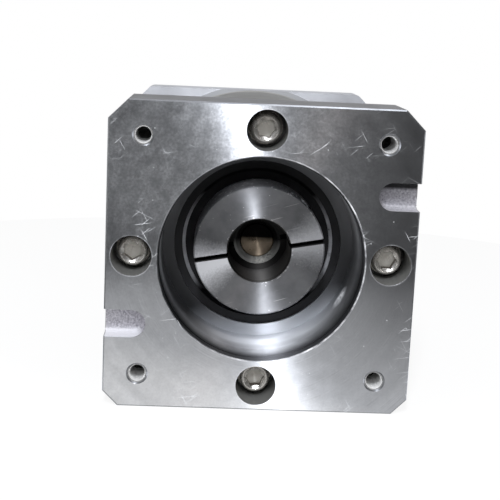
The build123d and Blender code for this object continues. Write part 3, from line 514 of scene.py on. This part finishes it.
def disc_bronze():
    """The disc at the end of the motor bore: turned bronze, with a painted shadow over its upper half."""
    material, tree, shader, place = finish("bronze_disc_painted_shadow", 1.0, 0.3, 0.9)
    height = add(tree, "SeparateXYZ", {0: place}).node.outputs["Z"]
    # Painted shadow: the upper half is painted black
    oil = add(tree, "MapRange", {0: height, 1: -1.5 * MM, 2: 2 * MM})
    patches = clouds(tree, place, 8 * MM)
    rings = tool_marks(tree, axis_distance(tree, place), 0.6 * MM)
    colour = layered(tree, linear("#a39380"), patches, linear("#c8b7a2"), oil, linear("#0c0b0b"))
    rough = add(tree, "MapRange", {0: patches, 3: 0.26, 4: 0.36})
    connect(tree, shader, colour, rough, None, rings, 0.02 * MM)
    return material


def shank_steel():
    """The ground shank of the sun gear: its bevel shows below the disc, with a painted glint,
    and painted shade makes the rest black."""
    material, tree, shader, place = finish("ground_shank_steel", 0.5, 0.3)
    split = add(tree, "SeparateXYZ", {0: place}).node.outputs
    # Painted shade: the upper part is painted black
    oil = add(tree, "MapRange", {0: split["Z"], 1: -7 * MM, 2: 1 * MM})
    patches = clouds(tree, place, 8 * MM)
    # Painted glint: a bright patch a little right of the middle
    aside = add(tree, "Math", {0: split["X"], 1: 2.5 * MM}, operation="SUBTRACT")
    aside = add(tree, "Math", {0: aside}, operation="ABSOLUTE")
    patchy_highlight = add(tree, "MapRange", {0: aside, 1: 8 * MM, 2: 1 * MM})
    flecks = clouds(tree, place, 2.2 * MM, 3.0, 0.1, 1.2)
    patchy_highlight = add(tree, "Math", {0: patchy_highlight, 1: flecks}, operation="MULTIPLY")
    colour = layered(tree, linear("#8e8e8c"), patches, linear("#a6a6a3"), patchy_highlight, linear("#f6f5ee"))
    colour = layered(tree, colour, oil, linear("#0e0e0d"))
    rough = add(tree, "MapRange", {0: patches, 3: 0.25, 4: 0.35})
    connect(tree, shader, colour, rough)
    return material


def screw_steel():
    """Plated socket screws, a little yellowed: painted shade darkens the walls of the hexagon and the upper
    half of each head, and painted light makes the bottom of the hexagon bright."""
    material, tree, shader, place = finish("plated_screw_steel", 0.85, 0.25)
    split = add(tree, "SeparateXYZ", {0: place}).node.outputs
    spot = folded(tree, split)
    reach = add(tree, "VectorMath", {0: spot, 1: (SCREW_CIRCLE, 0, 0)}, out="Value", operation="DISTANCE")
    in_socket = add(tree, "Math", {0: reach, 1: SOCKET_CORNER + 0.13 * MM}, operation="LESS_THAN")
    # Painted shade: the walls of the hexagon are painted dark brown
    walls_start = SCREW_FACE + SOCKET_MOUTH + 0.3 * MM
    walls = add(tree, "Math", {0: split["Y"], 1: walls_start}, operation="GREATER_THAN")
    walls = add(tree, "Math", {0: walls, 1: in_socket}, operation="MULTIPLY")
    # Painted light: the bottom of the hexagon is painted bright
    bottom_start = SCREW_FACE + SOCKET_DEPTH - 0.2 * MM
    bottom = add(tree, "Math", {0: split["Y"], 1: bottom_start}, operation="GREATER_THAN")
    bottom = add(tree, "Math", {0: bottom, 1: in_socket}, operation="MULTIPLY")
    # How far above its own screw's middle a point is: the upper and lower screws stand off the axis
    height = add(tree, "Math", {0: split["Z"]}, operation="ABSOLUTE")
    end_screw = add(tree, "Math", {0: height, 1: SCREW_CIRCLE / 2}, operation="GREATER_THAN")
    upwards = add(tree, "Math", {0: split["Z"]}, operation="SIGN")
    middle = add(tree, "Math", {0: end_screw, 1: upwards}, operation="MULTIPLY")
    above = add(tree, "Math", {0: middle, 1: -SCREW_CIRCLE, 2: split["Z"]}, operation="MULTIPLY_ADD")
    # Painted shade: the upper half of each head is painted darker
    painted_head_shade = add(tree, "MapRange", {0: above, 1: 0.0, 2: 7 * MM, 3: 0.0, 4: 0.48})
    uneven = clouds(tree, place, 3 * MM, 3.0, 0.5, 1.1)
    painted_head_shade = add(tree, "Math", {0: painted_head_shade, 1: uneven}, operation="MULTIPLY", use_clamp=True)
    patches = clouds(tree, place, 5 * MM)
    fine = clouds(tree, place, 0.5 * MM, 1.0)
    colour = layered(tree, linear("#e4dfd8"), patches, linear("#f6f3ee"), painted_head_shade, linear("#8a8077"))
    colour = layered(tree, colour, walls, linear("#54493d"), bottom, linear("#fbf7ee"))
    rough = add(tree, "MapRange", {0: patches, 3: 0.2, 4: 0.3})
    metal = add(tree, "Math", {0: bottom, 1: -0.7, 2: 0.85}, operation="MULTIPLY_ADD")
    connect(tree, shader, colour, rough, metal, fine, 0.03 * MM)
    return material


def seal_case_painted_light():
    """The bare ring of the shaft seal: a painted highlight makes it bright where the sides show, and
    painted shade makes it black above and below.
    """
    material, tree, shader, place = finish("pressed_steel_painted_light", 0.5, 0.3)
    height = add(tree, "SeparateXYZ", {0: place}).node.outputs["Z"]
    height = add(tree, "Math", {0: height}, operation="ABSOLUTE")
    # Painted shade: above and below, the ring is painted black
    grease = add(tree, "MapRange", {0: height, 1: 14 * MM, 2: 32 * MM})
    smears = clouds(tree, place, 9 * MM)
    colour = layered(tree, linear("#c0c1c5"), smears, linear("#e0e1e4"), grease, linear("#111112"))
    rough = add(tree, "MapRange", {0: smears, 3: 0.25, 4: 0.4})
    connect(tree, shader, colour, rough)
    return material


def nitrile_rubber():
    """Moulded nitrile rubber, black and faintly glossy where grease has wetted it."""
    material, tree, shader, place = finish("moulded_nitrile_rubber", 0.0, 0.5)
    shader.inputs["Specular IOR Level"].default_value = 0.3
    patches = clouds(tree, place, 11 * MM, 3.0)
    colour = layered(tree, linear("#161618"), patches, linear("#222224"))
    rough = add(tree, "MapRange", {0: patches, 3: 0.4, 4: 0.6})
    connect(tree, shader, colour, rough, None, patches, 0.05 * MM)
    return material


def plain_metal(name, low, high, roughness, grain, metallic=1.0):
    """Metal with cloudy tone and a fine grain: ground, plated or oiled, as its colours and shine say."""
    material, tree, shader, place = finish(name, metallic, roughness)
    patches = clouds(tree, place, 8 * MM)
    fine = clouds(tree, place, grain, 1.0)
    colour = layered(tree, linear(low), patches, linear(high))
    rough = add(tree, "MapRange", {0: patches, 3: roughness - 0.05, 4: roughness + 0.07})
    connect(tree, shader, colour, rough, None, fine, 0.04 * MM)
    return material


def placed(name, shape, material):
    """An object in the scene, from its mesh and its one material."""
    mesh = bpy.data.meshes.new(name)
    shape.to_mesh(mesh)
    shape.free()
    mesh.materials.append(material)
    piece = bpy.data.objects.new(name, mesh)
    bpy.context.scene.collection.objects.link(piece)
    return piece


def new_piece(name, shape, material, body, replaced=None):
    """A piece of the reducer: normals outwards, its own finish, and the body that it moves with."""
    bmesh.ops.remove_doubles(shape, verts=shape.verts, dist=0.001 * MM)
    bmesh.ops.recalc_face_normals(shape, faces=shape.faces)
    piece = placed(name, shape, material)
    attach(piece, body)
    if replaced:
        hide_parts(replaced)


def round_solid(profile):
    """A few points, given as radius and depth, spun round the gear axis."""
    shape = bmesh.new()
    corners = [shape.verts.new((radius, depth, 0)) for radius, depth in profile]
    line = [shape.edges.new(pair) for pair in zip(corners, corners[1:])]
    bmesh.ops.spin(
        shape,
        geom=corners + line,
        cent=(0, 0, 0),
        axis=(0, 1, 0),
        angle=2 * math.pi,
        steps=48,
        use_merge=True,
    )
    bmesh.ops.remove_doubles(shape, verts=shape.verts, dist=0.001 * MM)
    return shape


def points_of(parts):
    """The points among some parts of a mesh."""
    return [part for part in parts if isinstance(part, bmesh.types.BMVert)]


def ring_of_edges(points):
    """The edges that meet at these points, each of them once."""
    return list({edge for point in points for edge in point.link_edges})


def socket_ring(screw, sides, radius, depth):
    """A ring with this many sides across the screw's axis."""
    across = Matrix.Translation((0, depth, 0)) @ Matrix.Rotation(math.pi / 2, 4, "X")
    ring = bmesh.ops.create_circle(screw, segments=sides, radius=radius, matrix=across)
    return ring_of_edges(ring["verts"])


def sunk_rim(screw, rim, depth):
    """Draws a rim this much deeper into the screw, and gives its new edges and points."""
    drawn = bmesh.ops.extrude_edge_only(screw, edges=rim)["geom"]
    points = points_of(drawn)
    bmesh.ops.translate(screw, verts=points, vec=(0, depth, 0))
    return [part for part in drawn if isinstance(part, bmesh.types.BMEdge)], points


def socket_screw():
    """One long socket screw on the gear axis. Its head has a rounded rim and a face dished towards the
    hexagon, so its lower side catches the light from above. The hexagon has flat walls and a drilled
    bottom."""
    front = SCREW_FACE
    shank = (
        (0, SCREW_END),
        (SHANK_RADIUS - 0.8 * MM, SCREW_END),
        (SHANK_RADIUS, SCREW_END - 0.8 * MM),
        (SHANK_RADIUS, SCREW_SEAT),
    )
    head = (
        (HEAD_RADIUS - 0.3 * MM, SCREW_SEAT),
        (HEAD_RADIUS, SCREW_SEAT - 0.3 * MM),
        (HEAD_RADIUS, front + 2.2 * MM),
        (HEAD_RADIUS - 0.15 * MM, front + 1.4 * MM),
        (HEAD_RADIUS - 0.55 * MM, front + 0.7 * MM),
        (HEAD_RADIUS - 1.15 * MM, front + 0.2 * MM),
        (HEAD_RADIUS - 1.8 * MM, front),
        (HEAD_RADIUS - 2.0 * MM, front),
        (HEAD_RADIUS - 2.9 * MM, front + DISH_DEPTH),
    )
    screw = round_solid(shank + head)
    mouth = [edge for edge in screw.edges if edge.is_boundary]
    hexagon = socket_ring(screw, 6, SOCKET_CORNER, front + SOCKET_MOUTH)
    hexagon = bmesh.ops.subdivide_edges(screw, edges=hexagon, cuts=7)["geom_inner"]
    hexagon = ring_of_edges(points_of(hexagon))
    bmesh.ops.bridge_loops(screw, edges=mouth + hexagon)
    floor, _ = sunk_rim(screw, hexagon, SOCKET_DEPTH - SOCKET_MOUTH)
    drill = socket_ring(screw, 48, SOCKET_DRILL, front + SOCKET_DEPTH)
    bmesh.ops.bridge_loops(screw, edges=floor + drill)
    _, tip = sunk_rim(screw, drill, DRILL_POINT)
    bmesh.ops.pointmerge(screw, verts=tip, merge_co=(0, front + SOCKET_DEPTH + DRILL_POINT, 0))
    return screw


def screw_shape():
    """The four long screws, each left by its key at a turn of its own."""
    shape = bmesh.new()
    for side, turn in enumerate((30, 24, 3, 38)):
        screw = socket_screw()
        turned = Matrix.Rotation(math.radians(turn), 3, "Y")
        bmesh.ops.rotate(screw, verts=screw.verts, cent=(0, 0, 0), matrix=turned)
        out = Matrix.Rotation(math.radians(90 * side), 3, "Y") @ Vector((SCREW_CIRCLE, 0, 0))
        bmesh.ops.translate(screw, verts=screw.verts, vec=out)
        part = bpy.data.meshes.new("screw")
        screw.to_mesh(part)
        screw.free()
        shape.from_mesh(part)
        bpy.data.meshes.remove(part)
    return shape


def thread_shape():
    """The thread ridges inside the four tapped motor holes: one sharp ridge wound down each wall."""
    shape = bmesh.new()
    steps = 24
    section = (
        (THREAD_ROOT, THREAD_HALF),
        (THREAD_CREST, 2 * THREAD_HALF),
        (THREAD_ROOT, 3 * THREAD_HALF),
    )
    for x in (-MOTOR_HOLE_OFFSET, MOTOR_HOLE_OFFSET):
        for z in (-MOTOR_HOLE_OFFSET, MOTOR_HOLE_OFFSET):
            corners = [shape.verts.new((x + radius, depth, z)) for radius, depth in section]
            ring = [shape.edges.new(pair) for pair in zip(corners, corners[1:] + corners[:1])]
            shape.faces.new(corners)
            wound = bmesh.ops.spin(
                shape,
                geom=corners + ring,
                cent=(x, 0, z),
                axis=(0, 1, 0),
                dvec=(0, THREAD_PITCH / steps, 0),
                angle=2 * math.pi * THREAD_TURNS,
                steps=THREAD_TURNS * steps,
            )
            shape.faces.new(points_of(wound["geom_last"]))
    return shape


def paint(material, *nodes):
    """Gives the parts that the frame brought their finish."""
    for node in nodes:
        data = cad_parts[node].data
        data.materials.clear()
        data.materials.append(material)


new_piece(
    "long_housing_screws",
    screw_shape(),
    screw_steel(),
    "housing",
    "housing_screws",
)
new_piece(
    "motor_hole_threads",
    thread_shape(),
    plain_metal("cut_thread_aluminium", "#d5d5d4", "#eeeeed", 0.35, 0.6 * MM, 0.5),
    "housing",
)

paint(turned_aluminium(), "adapter")
paint(housing_aluminium(), "output_housing", "bearing_carrier")
paint(turned_body(), "ring_gear")
paint(hub_steel(), "clamp_hub")
paint(ground_shaft(), "carrier_shaft", "bearing_spacer")
paint(disc_bronze(), "bore_plug")
paint(shank_steel(), "sun_gear")
paint(
    plain_metal("oiled_gear_steel", "#6b6b68", "#8a8a86", 0.3, 0.5 * MM),
    *(f"planet_gear_{number}" for number in PLANETS),
)
paint(
    plain_metal("ground_bearing_steel", "#b3b4b8", "#cbccd0", 0.15, 0.4 * MM),
    *(f"input_bearing_{part}" for part in ("outer", "inner", "balls")),
    *(f"bearing_{which}_{part}" for which in "ab" for part in ("cup", "cone", "rollers")),
    *(f"planet_{part}_{number}" for part in ("needles", "pin") for number in PLANETS),
    "dowel_pins",
    "seal_land",
)
paint(plain_metal("hidden_screw_steel", "#b9b0a4", "#dcd5ca", 0.3, 0.5 * MM), "housing_screws")
paint(plain_metal("blackened_screw_steel", "#1d1d1f", "#303033", 0.35, 0.5 * MM), "clamp_screws")
paint(plain_metal("plated_small_screw_steel", "#8f8a84", "#aba59e", 0.25, 0.4 * MM), "retainer_screws")
paint(
    plain_metal("plated_washer_steel", "#8b867f", "#aca69e", 0.25, 0.5 * MM),
    "housing_washers",
    "pin_retainer",
)
paint(
    plain_metal("blued_spring_steel", "#2d2e33", "#43444a", 0.3, 0.4 * MM),
    "input_bore_ring",
    "input_shaft_ring",
    "output_bore_ring",
    "output_shaft_ring",
    "access_plug",
)
paint(seal_case_painted_light(), "input_seal_case")
paint(
    plain_metal("rolled_bronze", "#8d6a3c", "#b08a55", 0.35, 0.4 * MM),
    "thrust_washers",
    "input_bearing_cage",
)
paint(
    nitrile_rubber(),
    "input_seal",
    "output_seal",
    "adapter_seal_ring",
    "carrier_seal_ring",
    "housing_seal_ring",
)

# The studio: white floor paper, a white surround, grey cards for the metal to mirror, and soft lamps


def white_seen(tree, strength):
    """This strength for what the camera, metal and glass see, and 0 for the light that falls on things."""
    seen = add(tree, "LightPath", out="Is Camera Ray")
    path = seen.node.outputs
    for kind in ("Is Glossy Ray", "Is Transmission Ray"):
        seen = add(tree, "Math", {0: seen, 1: path[kind]}, operation="MAXIMUM")
    return add(tree, "Math", {0: seen, 1: strength}, operation="MULTIPLY")


def floor_paper():
    """White paper that stays white to the eye and still takes the object's shadow."""
    material = bpy.data.materials.new("white_floor_paper")
    material.use_nodes = True
    tree = material.node_tree
    tree.nodes.clear()
    diffuse = add(tree, "BsdfDiffuse", {"Color": linear("#f4f4f4")})
    glow = add(tree, "Emission", {"Color": linear("#ffffff"), "Strength": 1.0})
    both = add(tree, "MixShader", {0: white_seen(tree, 0.86), 1: diffuse, 2: glow})
    add(tree, "OutputMaterial", {"Surface": both})
    return material


def floor_shape():
    """A round sheet of paper that the reducer stands on."""
    shape = bmesh.new()
    under = Matrix.Translation((0, 0.2, -PLATE_HALF))
    bmesh.ops.create_circle(shape, cap_ends=True, segments=96, radius=0.5, matrix=under)
    return shape


def card_paper(name, left, right):
    """Matt grey card, going from one tone on its left to another on its right."""
    material, tree, shader, place = finish(name, 0.0, 0.9)
    across = add(tree, "SeparateXYZ", {0: place})
    share = add(tree, "MapRange", {0: across, 1: -0.6, 2: 0.4})
    connect(tree, shader, layered(tree, linear(left), share, linear(right)))
    return material


def grey_card(name, place, width, height, turn, left, right):
    """A card that only metal sees: it stands upright, and neither the camera nor a shadow shows it."""
    shape = bmesh.new()
    upright = Matrix.Rotation(math.radians(turn), 4, "Z") @ Matrix.Rotation(math.pi / 2, 4, "X")
    stand = Matrix.Translation(place) @ upright @ Matrix.Diagonal((width / 2, height / 2, 1, 1))
    bmesh.ops.create_grid(shape, x_segments=1, y_segments=1, size=1.0, matrix=stand)
    card = placed(name, shape, card_paper(name + "_paper", left, right))
    card.visible_camera = False
    card.visible_diffuse = False
    card.visible_shadow = False


def softbox(name, place, width, height, watts, colour):
    """A flat soft lamp that faces the object."""
    lamp = bpy.data.lights.new(name, "AREA")
    lamp.shape = "RECTANGLE"
    lamp.size = width
    lamp.size_y = height
    lamp.energy = watts
    lamp.color = linear(colour)[:3]
    holder = bpy.data.objects.new(name, lamp)
    holder.location = place
    holder.rotation_euler = Vector(place).to_track_quat("Z", "Y").to_euler()
    bpy.context.scene.collection.objects.link(holder)


placed("floor", floor_shape(), floor_paper())
grey_card("front_card", (0, -1.1, 0.3), 7.0, 1.8, 0, "#3d3f42", "#0e0e0f")
grey_card("back_card", (0, 1.3, 0.6), 4.0, 1.3, 0, "#a8a8aa", "#b8b8ba")
grey_card("right_card", (1.5, -0.6, 0.5), 1.4, 1.1, 90, "#1c1c1d", "#0e0e0f")
grey_card("left_card", (-1.6, -0.6, 0.5), 1.4, 1.1, 90, "#3d3f42", "#3d3f42")

world = bpy.data.worlds.new("studio_surround")
bpy.context.scene.world = world
world.use_nodes = True
surround = world.node_tree
surround.nodes.clear()
level = add(surround, "MapRange", {0: white_seen(surround, 1.0), 3: 0.6, 4: 1.0})
sky = add(surround, "Background", {"Color": linear("#ffffff"), "Strength": level})
add(surround, "OutputWorld", {"Surface": sky})

softbox("top_softbox", (-0.12, -0.95, 1.0), 0.12, 0.5, 16.5, "#f6f9ff")
softbox("front_softbox", (-0.08, -0.95, 0.42), 0.12, 0.12, 1.35, "#f8faff")
softbox("right_strip", (0.57, -0.81, 0.97), 0.03, 0.4, 1.2, "#fff3ee")
softbox("left_softbox", (-1.0, -0.8, 0.35), 0.5, 0.7, 1.1, "#ffffff")

# The camera stands where the photograph was taken from, a little above the gear axis
lens = bpy.data.cameras.new("camera")
lens.lens = 83.28
lens.sensor_width = 36.0
camera = bpy.data.objects.new("camera", lens)
right = Vector((0.9984, -0.0333, 0.0449)).normalized()
forward = Vector((0.0412, 0.9813, -0.1878)).normalized()
up = right.cross(forward).normalized()
right = forward.cross(up)
turn = Matrix((right, up, -forward)).transposed().to_4x4()
camera.matrix_world = Matrix.Translation((-0.0347, -0.6608, 0.1327)) @ turn
bpy.context.scene.collection.objects.link(camera)
bpy.context.scene.camera = camera
bpy.context.scene.view_settings.view_transform = "Standard"
